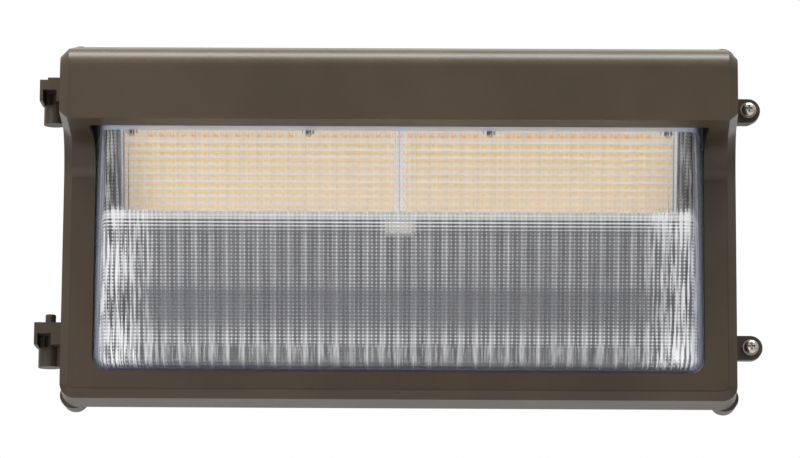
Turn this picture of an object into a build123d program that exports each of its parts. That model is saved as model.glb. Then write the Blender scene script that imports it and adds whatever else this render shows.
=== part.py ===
"""LED wall pack light: a die-cast housing that screws to a wall, and a hooded door
with a prismatic lens that hangs on two lift-off hinges and is held by two captive screws.

Millimetres. +X is to the viewer's right, the front faces -Y and +Z is up. The origin is
at the middle of the back face that lies on the wall, and a "depth" is a distance out from it.
"""

from build123d import *
from math import cos, hypot, radians, tan
import os

# ---- housing -------------------------------------------------------------------------
housing_depth = 59.5        # wall to the rim that the gasket lies on
rim_overhang = 0.25         # housing's rim past the door, each side
rim_height = 247.2
housing_draft = 9.2         # degrees, every side of the pan
housing_wall = 3.0
back_wall = 4.0
housing_corner = 9.0
corner_boss_radius = 9.0
corner_boss_reach = 1.6     # how far the corner bosses stand out past the rim
corner_boss_length = 22.0

# ---- door ----------------------------------------------------------------------------
gasket_thickness = 2.5
gasket_width = 4.5
gasket_margin = 1.0         # inside the rim's edge
side_rail = 25.35           # lens to the door's edge at the seam
door_over_top = 0.6         # past the housing's rim
door_over_bottom = 0.9
door_wall = 3.0
side_draft = 3.1            # degrees
bottom_draft = 1.5
hood_slope = 13.25          # degrees, fall of the hood's top
face_depth = 107.0          # flat frame round the lens
hood_depth = 190.0
hood_height = 76.0          # hood's back edge over its underside
cove_radius = 24.0          # from the hood's underside down to the frame
crown_radius = 13.5         # hood top to hood front
door_corner = 10.0
edge_bevel = 5.6            # flat bevel round the front edges
pad_height = 0.8            # raised pad round the lens
pad_margin = 0.6
pad_corner = 4.0

# ---- lens ----------------------------------------------------------------------------
lens_side_gap = 14.0        # tray to the lens's edge at the frame's face
lower_rail = 20.0           # door's foot up to the lens
upper_rail = 46.2           # hood's back edge down to the top of the lens
lens_corner = 10.0
lens_draft = 8.0            # degrees, side walls
lens_wall = 3.0
lens_lower_depth = 118.0    # front of the lens near its foot
lens_lower_rise = 9.5       # that place above the foot
lens_slope = 17.4           # degrees from upright
lens_edge_radius = 8.0
lens_clearance = 0.8
flange_width = 6.5
flange_thickness = 3.0
lens_gasket_thickness = 1.5
clip_thickness = 1.2
clip_width = 14.0
clip_bite = 3.5             # how far a clip reaches over the lens flange
clip_boss_radius = 3.8
clip_gap = 0.8
clip_screw_radius = 1.45
clip_screw_length = 5.0
clip_screw_head = 2.8
clip_screw_head_height = 2.0
thread_slack = 0.05
side_clip_levels = (-70.0, 0.0, 62.0)
end_clip_places = (-150.0, 0.0, 150.0)

# ---- hinges --------------------------------------------------------------------------
hinge_reach = 9.9           # pin axis past the rim
hinge_depth = 50.0
barrel_radius = 7.8
hook_radius = 9.0
pin_radius = 3.6
pin_clearance = 0.2
press_clearance = 0.02
hook_gap = 0.2              # hook above its barrel
barrel_height = 13.0
upper_barrel_drop = 38.9    # from the rim
lower_barrel_rise = 40.2
hook_heights = (14.6, 15.2)
hook_step = 1.5             # upper hook, next to the door
pin_rises = (11.3, 23.4)    # pin tops above their barrels
notch_height = 7.7
notch_left = 6.8            # notch edges from the pin axis
notch_right = 2.4
hook_front_depth = 70.0
hook_side_gap = 2.1         # hook to housing rim
web_thickness = 11.0

# ---- latch lugs and captive screws ---------------------------------------------------
lug_reach = 9.0             # screw axis past the rim
upper_lug_drop = 44.0       # from the rim
lower_lug_rise = 40.3
lug_radius = 8.2
lug_thickness = 8.0
lug_boss_radius = 6.2
lug_boss_height = 1.8
lug_gap = 0.2               # lug back to housing boss
latch_boss_length = 14.0
latch_boss_radius = 6.1     # inside the lug's outline, so the lug hides it
thread_radius = 2.5
screw_radius = 2.05         # at the root of the thread
lug_bore_radius = 2.8
washer_radius = 5.4
washer_bore_radius = 2.6
washer_thickness = 1.2
lock_washer_radius = 4.6
lock_washer_thickness = 1.6
washer_slack = 0.05
head_radius = 4.6
head_height = 4.4
head_edge = 1.6             # straight side under the domed head
recess_width = 1.3          # cross recess
recess_length = 4.8
recess_depth = 2.4
screw_travel = 6.0          # until the ring meets the lug
ring_thickness = 0.6
ring_radius = 4.0
ring_bore_radius = 4.7
screw_engagement = 5.0

# ---- conduit entries -----------------------------------------------------------------
conduit_radius = 10.45
conduit_depth = 30.0
hub_radius = 13.5
hub_length = 14.0
hub_proud = 2.8
plug_clearance = 0.1
plug_length = 11.0
plug_hex_radius = 14.4
plug_head = 3.0
seal_thickness = 1.2
seal_radius = 12.6
supply_radius = 11.1
supply_z = 50.0

# ---- wall screws ---------------------------------------------------------------------
mount_spacing_x = 360.0
mount_spacing_z = 100.0
mount_hole_radius = 3.5
mount_pad_radius = 9.0
mount_pad_height = 3.0

# ---- light engine --------------------------------------------------------------------
tray_margin = 2.0           # tray past the boards' ends
tray_sheet = 2.0
tray_depth = 56.0           # front of the flanges that lie on the housing's posts
tray_top_gap = 17.6         # below the rim
upper_flange_height = 14.0
roof_drop = 35.0            # roof of the tray, from its flange down to the boards' top
board_top_depth = 122.0
facet_rise = 54.0           # board facet, from the fold up
fold_depth = 86.0           # fold between the board facet and the reflector facet
reflector_foot_depth = 66.0
foot_rise = 7.5             # reflector's foot above the lens's
lower_flange_height = 13.0
post_radius = 6.0
post_x = 150.0
tray_screw_radius = 2.0
tray_screw_length = 9.0
tray_screw_head = 3.8
tray_screw_head_height = 2.4
board_length = 185.7
board_gap = 0.6             # between the two boards
board_thickness = 1.6
board_start = 1.2           # above the fold
board_end_gap = 0.7         # facet left bare above the boards
chip_length = 3.0
chip_width = 2.8
chip_thickness = 0.7
chip_columns = 25
chip_rows = 9
first_chip_row = 4.7        # above the fold
last_chip_row = 13.1        # below the boards' top
first_chip_column = 5.0     # from the middle of the light
last_chip_column = 5.08     # from the boards' outer ends
amber_inset = 5.9           # amber row, below the boards' top
amber_pitch = 7.2
amber_counts = (14, 15, 14)
amber_centres = (-119.0, 0.0, 119.0)
board_screw_inset = 3.2     # below the boards' top
inner_screw_inset = 60.2    # from the boards' inner ends
outer_screw_inset = 7.0     # from their outer ends
board_screw_radius = 1.5
board_screw_head = 2.6
board_screw_head_height = 1.8
board_screw_length = 4.5
connector_width = 20.0
connector_height = 11.0
connector_thickness = 5.0
connector_drop = 8.5        # centre, below the fold
cheek_sheet = 1.5
cheek_reach = 14.0
wire_hole_radius = 4.5
wire_pair = 4.4             # between the two leads where they pass the tray

# ---- driver and wiring ---------------------------------------------------------------
driver_length = 170.0
driver_height = 60.0
driver_thickness = 33.0
driver_corner = 5.0
driver_x = -40.0
driver_z = -35.0
driver_standoff = 3.0
end_cap = 5.0
tab_length = 12.0
tab_width = 16.0
tab_thickness = 2.0
driver_screw_radius = 2.0
driver_screw_length = 6.0
driver_boss_radius = 5.0
wire_radius = 1.1
wire_level = 18.0           # depth of the leads where they leave the driver
lead_gap = 14.0             # between the two leads at each end of the driver
lead_rise = 8.0             # lower lead above the driver's middle
lead_step = 10.0            # unit of the leads' routes
splice_radius = 5.5
splice_length = 20.0
splice_x = -60.0
splice_depth = 22.0
splice_levels = (38.0, 53.0, 68.0)
ground_x = -112.0
ground_z = 82.0
ground_boss_radius = 5.0
ground_boss_height = 4.0
terminal_radius = 4.6
terminal_thickness = 0.8
ground_screw_head = 3.4
ground_screw_length = 6.0


def tangent(angle):
    return tan(radians(angle))


def facing(depth):
    """Upright plane that far out from the wall: local x to the right, local y up."""
    return Plane.XZ.offset(depth)


def drafted(half_width, bottom, top, corner, depth, length, draft):
    """Upright rounded block that narrows with the draft as it goes out from the wall."""
    shrink = length * tangent(draft)
    with BuildPart() as block:
        for inset, level in ((0, depth), (shrink, depth + length)):
            with BuildSketch(facing(level)):
                with Locations((0, (bottom + top) / 2)):
                    RectangleRounded(2 * (half_width - inset), top - bottom - 2 * inset, corner)
        loft(ruled=True)
    return block.part


def ring(half_width, bottom, top, corner, width, depth, thickness):
    """Upright flat rounded ring, such as a gasket."""
    with BuildPart() as band:
        with BuildSketch(facing(depth)):
            with Locations((0, (bottom + top) / 2)):
                RectangleRounded(2 * half_width, top - bottom, corner)
                RectangleRounded(
                    2 * (half_width - width), top - bottom - 2 * width, max(corner - width, 1), mode=Mode.SUBTRACT
                )
        extrude(amount=thickness)
    return band.part


def fastener(plane, shank_radius, shank_length, head_radius, head_height):
    """Pan-head screw: the head stands out along the plane's normal and the shank goes in."""
    with BuildPart() as screw:
        with BuildSketch(plane):
            Circle(head_radius)
        extrude(amount=head_height)
        fillet(screw.faces().sort_by(Axis(plane.origin, plane.z_dir))[-1].edges(), head_height * 0.45)
        with BuildSketch(plane):
            Circle(shank_radius)
        extrude(amount=-shank_length)
    return screw.part


def write(part, name):
    """Label a finished piece and write it."""
    part.label = name
    export_step(part, f"parts/{name}.step")


os.makedirs("parts", exist_ok=True)
seam_depth = housing_depth + gasket_thickness
tray_width = board_gap + 2 * (board_length + tray_margin)
lens_width = tray_width + 2 * lens_side_gap
door_width = lens_width + 2 * side_rail
door_half = door_width / 2
rim_half = door_half + rim_overhang
rim_top = rim_height / 2
hinge_x = -rim_half - hinge_reach
lug_x = rim_half + lug_reach
door_top = rim_top + door_over_top
door_bottom = -rim_top - door_over_bottom
hood_underside = door_top - hood_height
lens_top = door_top - upper_rail
lens_bottom = door_bottom + lower_rail
lens_lower_level = lens_bottom + lens_lower_rise
barrel_tops = (rim_top - upper_barrel_drop, lower_barrel_rise - rim_top)
pin_tops = [barrel_top + rise for barrel_top, rise in zip(barrel_tops, pin_rises)]
lug_levels = (rim_top - upper_lug_drop, lower_lug_rise - rim_top)
tray_top = rim_top - tray_top_gap
tray_roof_level = tray_top - upper_flange_height
board_top_level = tray_roof_level - roof_drop
fold_level = board_top_level - facet_rise
reflector_foot_level = lens_bottom + foot_rise
tray_bottom = reflector_foot_level - lower_flange_height
sides = (-1, 1)


def pan_side(depth):
    """Half width of the housing at a depth."""
    return rim_half - (housing_depth - depth) * tangent(housing_draft)


post_levels = ((tray_top + tray_roof_level) / 2, (tray_bottom + reflector_foot_level) / 2 - 1)
post_places = [(x, level) for x in (-post_x, post_x) for level in post_levels]
mount_places = [(x * mount_spacing_x / 2, z * mount_spacing_z / 2) for x in sides for z in sides]
driver_tab_x = driver_length / 2 + end_cap + tab_length / 2
driver_tabs = [(driver_x + side * driver_tab_x, driver_z) for side in sides]
post_depth = tray_depth - tray_sheet
mount_pad_depth = back_wall + mount_pad_height
driver_depth = back_wall + driver_standoff
ground_depth = back_wall + ground_boss_height

# ==== rear housing ====================================================================
housing_fall = housing_depth * tangent(housing_draft)
inner_length = housing_depth - back_wall
inner_fall = inner_length * tangent(housing_draft)
latch_front = seam_depth - lug_gap
latch_start = latch_front - latch_boss_length
hub_end = pan_side(conduit_depth) + hub_proud
ring_back = seam_depth - screw_travel - ring_thickness
screw_tip = ring_back - screw_engagement
into_wall = housing_wall / 2

with BuildPart() as rear_housing:
    add(
        drafted(
            rim_half - housing_fall, housing_fall - rim_top, rim_top - housing_fall,
            housing_corner, 0, housing_depth, -housing_draft,
        )
    )
    with BuildSketch(facing(housing_depth - corner_boss_length)):
        boss_centre = corner_boss_reach - corner_boss_radius
        with GridLocations(2 * (rim_half + boss_centre), 2 * (rim_top + boss_centre), 2, 2):
            Circle(corner_boss_radius)
    extrude(amount=corner_boss_length)
    inner_half = rim_half - housing_wall - inner_fall
    inner_top = rim_top - housing_wall - inner_fall
    inside = drafted(
        inner_half, -inner_top, inner_top, housing_corner - into_wall, back_wall, inner_length, -housing_draft
    )
    add(inside, mode=Mode.SUBTRACT)
    # posts for the tray, pads for the wall screws, bosses for the driver and the ground screw
    for places, radius, top in (
        (post_places, post_radius, post_depth),
        (mount_places, mount_pad_radius, mount_pad_depth),
        (driver_tabs, driver_boss_radius, driver_depth),
        ([(ground_x, ground_z)], ground_boss_radius, ground_depth),
    ):
        with BuildSketch(facing(back_wall / 2)):
            with Locations(*places):
                Circle(radius)
        extrude(amount=top - back_wall / 2)
    # hinge barrels, each on a web from the side wall
    web = hinge_x + pan_side(hinge_depth) - into_wall
    for barrel_top in barrel_tops:
        with BuildSketch(Plane.XY.offset(barrel_top - barrel_height)):
            with Locations((hinge_x, -hinge_depth)):
                Circle(barrel_radius)
            with Locations((hinge_x - web / 2, -hinge_depth)):
                Rectangle(abs(web), web_thickness)
        extrude(amount=barrel_height)
    # bosses behind the lugs of the door, round in front and joined to the side wall behind the rim
    with BuildSketch(facing(latch_start)):
        with Locations(*[(lug_x, level) for level in lug_levels]):
            Circle(latch_boss_radius)
    extrude(amount=latch_boss_length)
    with BuildSketch(facing(latch_start)):
        reach = lug_x - pan_side(latch_start) + into_wall
        with Locations(*[(lug_x - reach / 2, level) for level in lug_levels]):
            Rectangle(reach, 2 * latch_boss_radius)
    extrude(amount=housing_depth - latch_start)
    # conduit hubs through the side walls
    for side in sides:
        with BuildSketch(Plane.YZ.offset(side * (hub_end - hub_length))):
            with Locations((-conduit_depth, 0)):
                Circle(hub_radius)
        extrude(amount=side * hub_length)
    for side in sides:
        with BuildSketch(Plane.YZ.offset(side * hub_end)):
            with Locations((-conduit_depth, 0)):
                Circle(conduit_radius)
        extrude(amount=-side * hub_length, mode=Mode.SUBTRACT)
    # bores: hinge pins, threads, wall screws and the supply entry
    for barrel_top in barrel_tops:
        with BuildSketch(Plane.XY.offset(barrel_top)):
            with Locations((hinge_x, -hinge_depth)):
                Circle(pin_radius + press_clearance)
        extrude(amount=-barrel_height, mode=Mode.SUBTRACT)
    for places, radius, top, bottom in (
        ([(lug_x, level) for level in lug_levels], thread_radius, latch_front, screw_tip - 1),
        ([(lug_x, level) for level in lug_levels], ring_bore_radius, latch_front, ring_back - 1),
        (post_places, tray_screw_radius + thread_slack, post_depth, tray_depth - tray_screw_length - 1),
        (driver_tabs, driver_screw_radius + thread_slack, driver_depth, driver_depth - driver_screw_length + 1),
        ([(ground_x, ground_z)], driver_screw_radius + thread_slack, ground_depth,
         ground_depth - ground_screw_length + 0.5),
        (mount_places, mount_hole_radius, mount_pad_depth, 0),
        ([(0, supply_z)], supply_radius, back_wall, 0),
    ):
        with BuildSketch(facing(top)):
            with Locations(*places):
                Circle(radius)
        extrude(amount=bottom - top, mode=Mode.SUBTRACT)
write(rear_housing.part, "rear_housing")

# ==== hinge pins ======================================================================
for name, barrel_top, pin_top in zip(("upper_hinge_pin", "lower_hinge_pin"), barrel_tops, pin_tops):
    with BuildPart() as hinge_pin:
        with BuildSketch(Plane.XY.offset(barrel_top - barrel_height)):
            with Locations((hinge_x, -hinge_depth)):
                Circle(pin_radius)
        extrude(amount=pin_top - barrel_top + barrel_height)
        chamfer(hinge_pin.faces().sort_by(Axis.Z)[-1].edges(), 0.6)
    write(hinge_pin.part, name)

# ==== conduit plugs and their seals ===================================================
with BuildPart() as conduit_plugs:
    for side in sides:
        with BuildSketch(Plane.YZ.offset(side * (hub_end + seal_thickness))):
            with Locations((-conduit_depth, 0)):
                Circle(conduit_radius - plug_clearance)
        extrude(amount=-side * (plug_length + seal_thickness))
        with BuildSketch(Plane.YZ.offset(side * (hub_end + seal_thickness))):
            with Locations((-conduit_depth, 0)):
                RegularPolygon(plug_hex_radius, 6)
        extrude(amount=side * plug_head)
write(conduit_plugs.part, "conduit_plugs")

with BuildPart() as conduit_seals:
    for side in sides:
        with BuildSketch(Plane.YZ.offset(side * hub_end)):
            with Locations((-conduit_depth, 0)):
                Circle(seal_radius)
                Circle(conduit_radius, mode=Mode.SUBTRACT)
        extrude(amount=side * seal_thickness)
write(conduit_seals.part, "conduit_seals")

# ==== door gasket =====================================================================
door_gasket = ring(
    rim_half - gasket_margin, gasket_margin - rim_top, rim_top - gasket_margin,
    housing_corner - gasket_margin, gasket_width, housing_depth, gasket_thickness,
)
write(door_gasket, "door_gasket")


# ==== door frame ======================================================================
def door_block(inset, back_depth):
    """The door's outer form, or the space inside it, with the bevel round its front edges."""
    far_depth = hood_depth + door_corner
    with BuildPart() as block:
        for depth in (back_depth, far_depth):
            half = door_half - (depth - seam_depth) * tangent(side_draft) - inset
            bottom = door_bottom + (depth - seam_depth) * tangent(bottom_draft) + inset
            with BuildSketch(facing(depth)) as outline:
                with BuildLine():
                    Polyline((-half, door_width), (-half, bottom), (half, bottom), (half, door_width), close=True)
                make_face()
                fillet(outline.vertices().group_by(Axis.Y)[0], door_corner - inset)
        loft(ruled=True)
        face = -(face_depth - inset)
        front = -(hood_depth - inset)
        underside = hood_underside + inset
        back_top = door_top - (back_depth - seam_depth) * tangent(hood_slope) - inset / cos(radians(hood_slope))
        front_top = back_top - (hood_depth - inset - back_depth) * tangent(hood_slope)
        with BuildSketch(Plane.YZ) as side_profile:
            with BuildLine():
                Polyline(
                    (-back_depth, -door_width), (face, -door_width), (face, underside),
                    (front, underside), (front, front_top), (-back_depth, back_top), close=True,
                )
            make_face()
            corners = side_profile.vertices()
            fillet(corners.sort_by_distance((face, underside))[0], cove_radius + inset)
            fillet(side_profile.vertices().sort_by_distance((front, front_top))[0], crown_radius - inset)
        extrude(amount=door_width, both=True, mode=Mode.INTERSECT)
        back_face = block.faces().sort_by(Axis.Y)[-1]
        drafted_faces = [
            side_face for side_face in block.faces()
            if abs(side_face.normal_at().X) > 0.9
            or (side_face.center().Z < door_bottom + door_corner and side_face.normal_at().Z < -0.2)
        ]
        front_faces = [item for item in block.faces() if item not in drafted_faces and item != back_face]
        front_edges = [edge for item in front_faces for edge in item.edges()]
        rim_edges = [edge for item in drafted_faces for edge in item.edges() if edge in front_edges]
        chamfer(rim_edges, edge_bevel - inset * 0.4)
    return block.part


flange_front = face_depth - door_wall - lens_gasket_thickness
flange_back = flange_front - flange_thickness
opening_half = lens_width / 2 + (face_depth - flange_front) * tangent(lens_draft) + lens_clearance
opening_bottom = lens_bottom - (face_depth - flange_front) * tangent(lens_draft) - lens_clearance
opening_top = lens_top + (face_depth - flange_front) * tangent(lens_draft) + lens_clearance
flange_half = opening_half + flange_width - lens_clearance
flange_bottom = opening_bottom - flange_width + lens_clearance
flange_top = opening_top + flange_width - lens_clearance


def lens_front(level):
    """Depth of the lens's sloping front at a level."""
    return lens_lower_depth + (level - lens_lower_level) * tangent(lens_slope)


clip_offset = clip_gap + clip_boss_radius
side_clips = [(side * (flange_half + clip_offset), level) for side in sides for level in side_clip_levels]
top_clips = [(place, flange_top + clip_offset) for place in end_clip_places]
bottom_clips = [(place, flange_bottom - clip_offset) for place in end_clip_places]
clip_places = side_clips + top_clips + bottom_clips
lug_front = seam_depth + lug_thickness
lug_boss_front = lug_front + lug_boss_height
outer_form = door_block(0, seam_depth)

with BuildPart() as bulkhead:
    add(outer_form)
    with Locations((0, -(face_depth - door_wall / 2), 0)):
        Box(2 * door_width, door_wall, 2 * door_width, mode=Mode.INTERSECT)

with BuildPart() as door_frame:
    add(outer_form)
    add(door_block(door_wall, seam_depth), mode=Mode.SUBTRACT)
    add(bulkhead.part)
    # raised pad round the lens
    with BuildSketch(facing(face_depth)):
        pad_half = door_half - (face_depth - seam_depth) * tangent(side_draft) - edge_bevel - pad_margin
        pad_bottom = door_bottom + (face_depth - seam_depth) * tangent(bottom_draft) + edge_bevel + pad_margin
        pad_top = hood_underside - cove_radius - pad_margin
        with Locations((0, (pad_bottom + pad_top) / 2)):
            RectangleRounded(2 * pad_half, pad_top - pad_bottom, pad_corner)
    extrude(amount=pad_height)
    # opening for the lens, out through the frame and up through the hood's underside
    with BuildSketch(facing(seam_depth)):
        with Locations((0, (opening_bottom + opening_top) / 2)):
            RectangleRounded(2 * opening_half, opening_top - opening_bottom, lens_corner)
    extrude(amount=lens_front(hood_underside + door_wall) + 2 - seam_depth, mode=Mode.SUBTRACT)
    # bosses for the lens clips
    with BuildSketch(facing(flange_back)):
        with Locations(*clip_places):
            Circle(clip_boss_radius)
    extrude(amount=face_depth - door_wall / 2 - flange_back)
    with BuildSketch(facing(flange_back)):
        with Locations(*clip_places):
            Circle(clip_screw_radius + thread_slack)
    extrude(amount=clip_screw_length - clip_thickness + 0.5, mode=Mode.SUBTRACT)
    # hinge hooks
    for index, (barrel_top, height) in enumerate(zip(barrel_tops, hook_heights)):
        hook_bottom = barrel_top + hook_gap
        hook_right = -rim_half - hook_side_gap
        arm_right = -door_half + into_wall
        with BuildSketch(Plane.XY.offset(hook_bottom)):
            with Locations((hinge_x, -hinge_depth)):
                Circle(hook_radius)
            with BuildLine():
                Polyline(
                    (hinge_x - hook_radius, -hinge_depth), (hinge_x - hook_radius, -hook_front_depth),
                    (arm_right, -hook_front_depth), (arm_right, -seam_depth), (hook_right, -seam_depth),
                    (hook_right, -hinge_depth), close=True,
                )
            make_face()
        extrude(amount=height)
        if index == 0:
            with BuildSketch(Plane.XY.offset(hook_bottom + height)):
                with BuildLine():
                    Polyline(
                        (hinge_x - pin_radius, -hinge_depth), (hinge_x - pin_radius, -hook_front_depth),
                        (arm_right, -hook_front_depth), (arm_right, -seam_depth), (hook_right, -seam_depth),
                        (hook_right, -hinge_depth), close=True,
                    )
                make_face()
            extrude(amount=hook_step)
        bore_height = pin_tops[index] + 1 - hook_bottom
        with BuildSketch(Plane.XY.offset(hook_bottom)):
            with Locations((hinge_x, -hinge_depth)):
                Circle(pin_radius + pin_clearance)
        extrude(amount=bore_height, mode=Mode.SUBTRACT)
        with BuildSketch(Plane.XY.offset(hook_bottom)):
            with Locations((hinge_x + (notch_right - notch_left) / 2, -hook_front_depth)):
                Rectangle(notch_right + notch_left, 2 * (hook_front_depth - hinge_depth))
        extrude(amount=notch_height, mode=Mode.SUBTRACT)
    # latch lugs
    lug_places = [(lug_x, level) for level in lug_levels]
    with BuildSketch(facing(seam_depth)):
        lug_arm = lug_x - door_half + into_wall
        with Locations(*lug_places):
            Circle(lug_radius)
        with Locations(*[(lug_x - lug_arm / 2, level) for level in lug_levels]):
            Rectangle(lug_arm, 2 * lug_radius)
    extrude(amount=lug_thickness)
    with BuildSketch(facing(lug_front)):
        with Locations(*lug_places):
            Circle(lug_boss_radius)
    extrude(amount=lug_boss_height)
    with BuildSketch(facing(seam_depth)):
        with Locations(*lug_places):
            Circle(lug_bore_radius)
    extrude(amount=lug_thickness + lug_boss_height, mode=Mode.SUBTRACT)
write(door_frame.part, "door_frame")


# ==== lens, its gasket, clips and clip screws =========================================
def lens_block(inset):
    """The lens's outer form, or the hollow behind it, with rounded front edges."""
    back = flange_front if inset == 0 else flange_back
    spread = (face_depth - back) * tangent(lens_draft) - inset
    deep = lens_front(lens_top) + lens_wall
    with BuildPart() as block:
        add(
            drafted(
                lens_width / 2 + spread, lens_bottom - spread, lens_top + spread,
                lens_corner - inset, back, deep - back, lens_draft,
            )
        )
        below = lens_bottom - lens_corner
        above = lens_top + lens_corner
        with BuildSketch(Plane.YZ):
            with BuildLine():
                Polyline(
                    (-back, below), (inset - lens_front(below), below),
                    (inset - lens_front(above), above), (-back, above), close=True,
                )
            make_face()
        extrude(amount=lens_width, both=True, mode=Mode.INTERSECT)
        front = block.faces().sort_by(Axis((0, 0, 0), (0, -cos(radians(lens_slope)), -tangent(lens_slope))))[-1]
        fillet(front.edges(), lens_edge_radius - inset)
    return block.part


with BuildPart() as lens:
    add(lens_block(0))
    with BuildSketch(facing(flange_back)):
        with Locations((0, (flange_bottom + flange_top) / 2)):
            RectangleRounded(2 * flange_half, flange_top - flange_bottom, lens_corner + 2)
    extrude(amount=flange_thickness)
    add(lens_block(lens_wall), mode=Mode.SUBTRACT)
write(lens.part, "lens")

lens_gasket = ring(
    flange_half - 0.5, flange_bottom + 0.5, flange_top - 0.5, lens_corner + 1.5,
    flange_width - 1, flange_front, lens_gasket_thickness,
)
write(lens_gasket, "lens_gasket")

clip_depth = flange_back - clip_thickness
clip_length = clip_bite + clip_gap + 2 * clip_boss_radius
with BuildPart() as lens_clips:
    with BuildSketch(facing(clip_depth)):
        middle = flange_half - clip_bite + clip_length / 2
        with Locations(*[(side * middle, level) for side in sides for level in side_clip_levels]):
            Rectangle(clip_length, clip_width)
        with Locations(*[(place, flange_top - clip_bite + clip_length / 2) for place in end_clip_places]):
            Rectangle(clip_width, clip_length)
        with Locations(*[(place, flange_bottom + clip_bite - clip_length / 2) for place in end_clip_places]):
            Rectangle(clip_width, clip_length)
        with Locations(*clip_places):
            Circle(clip_screw_radius + pin_clearance, mode=Mode.SUBTRACT)
    extrude(amount=clip_thickness)
write(lens_clips.part, "lens_clips")

with BuildPart() as lens_clip_screws:
    for place, level in clip_places:
        backward = Plane(origin=(place, -clip_depth, level), x_dir=(-1, 0, 0), z_dir=(0, 1, 0))
        add(fastener(backward, clip_screw_radius, clip_screw_length, clip_screw_head, clip_screw_head_height))
write(lens_clip_screws.part, "lens_clip_screws")

# ==== captive screws, their washers and retaining rings ===============================
washer_back = lug_boss_front + washer_slack
lock_back = washer_back + washer_thickness
head_back = lock_back + lock_washer_thickness + washer_slack
ring_front = ring_back + ring_thickness - washer_slack
for name, level in zip(("upper", "lower"), lug_levels):
    with BuildPart() as washers:
        for depth, radius, thickness in (
            (washer_back, washer_radius, washer_thickness),
            (lock_back, lock_washer_radius, lock_washer_thickness),
        ):
            with BuildSketch(facing(depth)):
                with Locations((lug_x, level)):
                    Circle(radius)
                    Circle(washer_bore_radius, mode=Mode.SUBTRACT)
            extrude(amount=thickness)
    write(washers.part, f"{name}_screw_washers")

    with BuildPart() as captive_screw:
        with BuildSketch(facing(head_back)):
            with Locations((lug_x, level)):
                Circle(head_radius)
        extrude(amount=head_height)
        crown = captive_screw.faces().sort_by(Axis.Y)[0].edges()
        fillet(crown, head_height - head_edge)
        with BuildSketch(facing(screw_tip)):
            with Locations((lug_x, level)):
                Circle(screw_radius)
        extrude(amount=head_back - screw_tip)
        chamfer(captive_screw.faces().sort_by(Axis.Y)[-1].edges(), 0.5)
        with BuildSketch(facing(head_back + head_height)):
            with Locations((lug_x, level)):
                Rectangle(recess_length, recess_width)
                Rectangle(recess_width, recess_length)
        extrude(amount=-recess_depth, taper=12, mode=Mode.SUBTRACT)
    write(captive_screw.part, f"{name}_captive_screw")

    with BuildPart() as retaining_ring:
        with BuildSketch(facing(ring_back)):
            with Locations((lug_x, level)):
                Circle(ring_radius)
                Circle(screw_radius + press_clearance, mode=Mode.SUBTRACT)
        extrude(amount=ring_front - ring_back)
    write(retaining_ring.part, f"{name}_retaining_ring")

# ==== tray, screws and cheeks =========================================================
facet_run = board_top_depth - fold_depth
board_height = hypot(facet_rise, facet_run) - board_start - board_end_gap
board_top = board_start + board_height
board_screw_row = board_top - board_screw_inset
board_end = board_gap / 2 + board_length
board_screw_places = [
    side * place for side in sides for place in (board_gap / 2 + inner_screw_inset, board_end - outer_screw_inset)
]
board_plane = Plane(
    origin=(0, -fold_depth, fold_level), x_dir=(1, 0, 0), z_dir=(0, -facet_rise, -facet_run)
)
reflector_run = fold_depth - reflector_foot_depth
reflector_drop = fold_level - reflector_foot_level
reflector_plane = Plane(
    origin=(0, -fold_depth, fold_level), x_dir=(1, 0, 0), z_dir=(0, -reflector_drop, -reflector_run)
)
tray_profile = (
    (-tray_depth, tray_top), (-tray_depth, tray_roof_level), (-board_top_depth, board_top_level),
    (-fold_depth, fold_level), (-reflector_foot_depth, reflector_foot_level),
    (-tray_depth, reflector_foot_level), (-tray_depth, tray_bottom),
)
with BuildPart() as led_tray:
    with BuildSketch(Plane.YZ):
        with BuildLine():
            Polyline(*tray_profile)
            offset(amount=tray_sheet, side=Side.LEFT)
        make_face()
    extrude(amount=tray_width / 2, both=True)
    with BuildSketch(facing(tray_depth)):
        with Locations(*post_places):
            Circle(tray_screw_radius + pin_clearance)
    extrude(amount=-2 * tray_sheet, mode=Mode.SUBTRACT)
    with BuildSketch(board_plane):
        with Locations(*[(place, board_screw_row) for place in board_screw_places]):
            Circle(board_screw_radius + thread_slack)
    extrude(amount=-2 * tray_sheet, mode=Mode.SUBTRACT)
    with BuildSketch(reflector_plane):
        with Locations((0, -connector_drop)):
            Circle(wire_hole_radius)
    extrude(amount=-2 * tray_sheet, mode=Mode.SUBTRACT)
write(led_tray.part, "led_tray")

with BuildPart() as tray_screws:
    for place, level in post_places:
        seat = Plane(origin=(place, -tray_depth, level), x_dir=(1, 0, 0), z_dir=(0, -1, 0))
        add(fastener(seat, tray_screw_radius, tray_screw_length, tray_screw_head, tray_screw_head_height))
write(tray_screws.part, "tray_screws")

with BuildPart() as tray_cheeks:
    for side in sides:
        with BuildSketch(Plane.YZ.offset(side * tray_width / 2)):
            with BuildLine():
                Polyline(
                    (-board_top_depth, board_top_level), (-fold_depth, fold_level),
                    (-reflector_foot_depth, reflector_foot_level),
                    (-reflector_foot_depth - cheek_reach, reflector_foot_level),
                    (-fold_depth - 1.5 * cheek_reach, fold_level), (-board_top_depth - cheek_reach, board_top_level),
                    close=True,
                )
            make_face()
        extrude(amount=side * cheek_sheet)
write(tray_cheeks.part, "tray_cheeks")

# ==== boards, light-emitting chips, board screws and connector ========================
board_middle = board_start + board_height / 2
board_side_x = board_gap / 2 + board_length / 2
for name, side in (("left_led_board", -1), ("right_led_board", 1)):
    with BuildPart() as led_board:
        with BuildSketch(board_plane):
            with Locations((side * board_side_x, board_middle)):
                Rectangle(board_length, board_height)
            with Locations(*[(place, board_screw_row) for place in board_screw_places]):
                Circle(board_screw_radius + pin_clearance, mode=Mode.SUBTRACT)
        extrude(amount=board_thickness)
    write(led_board.part, name)

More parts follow.
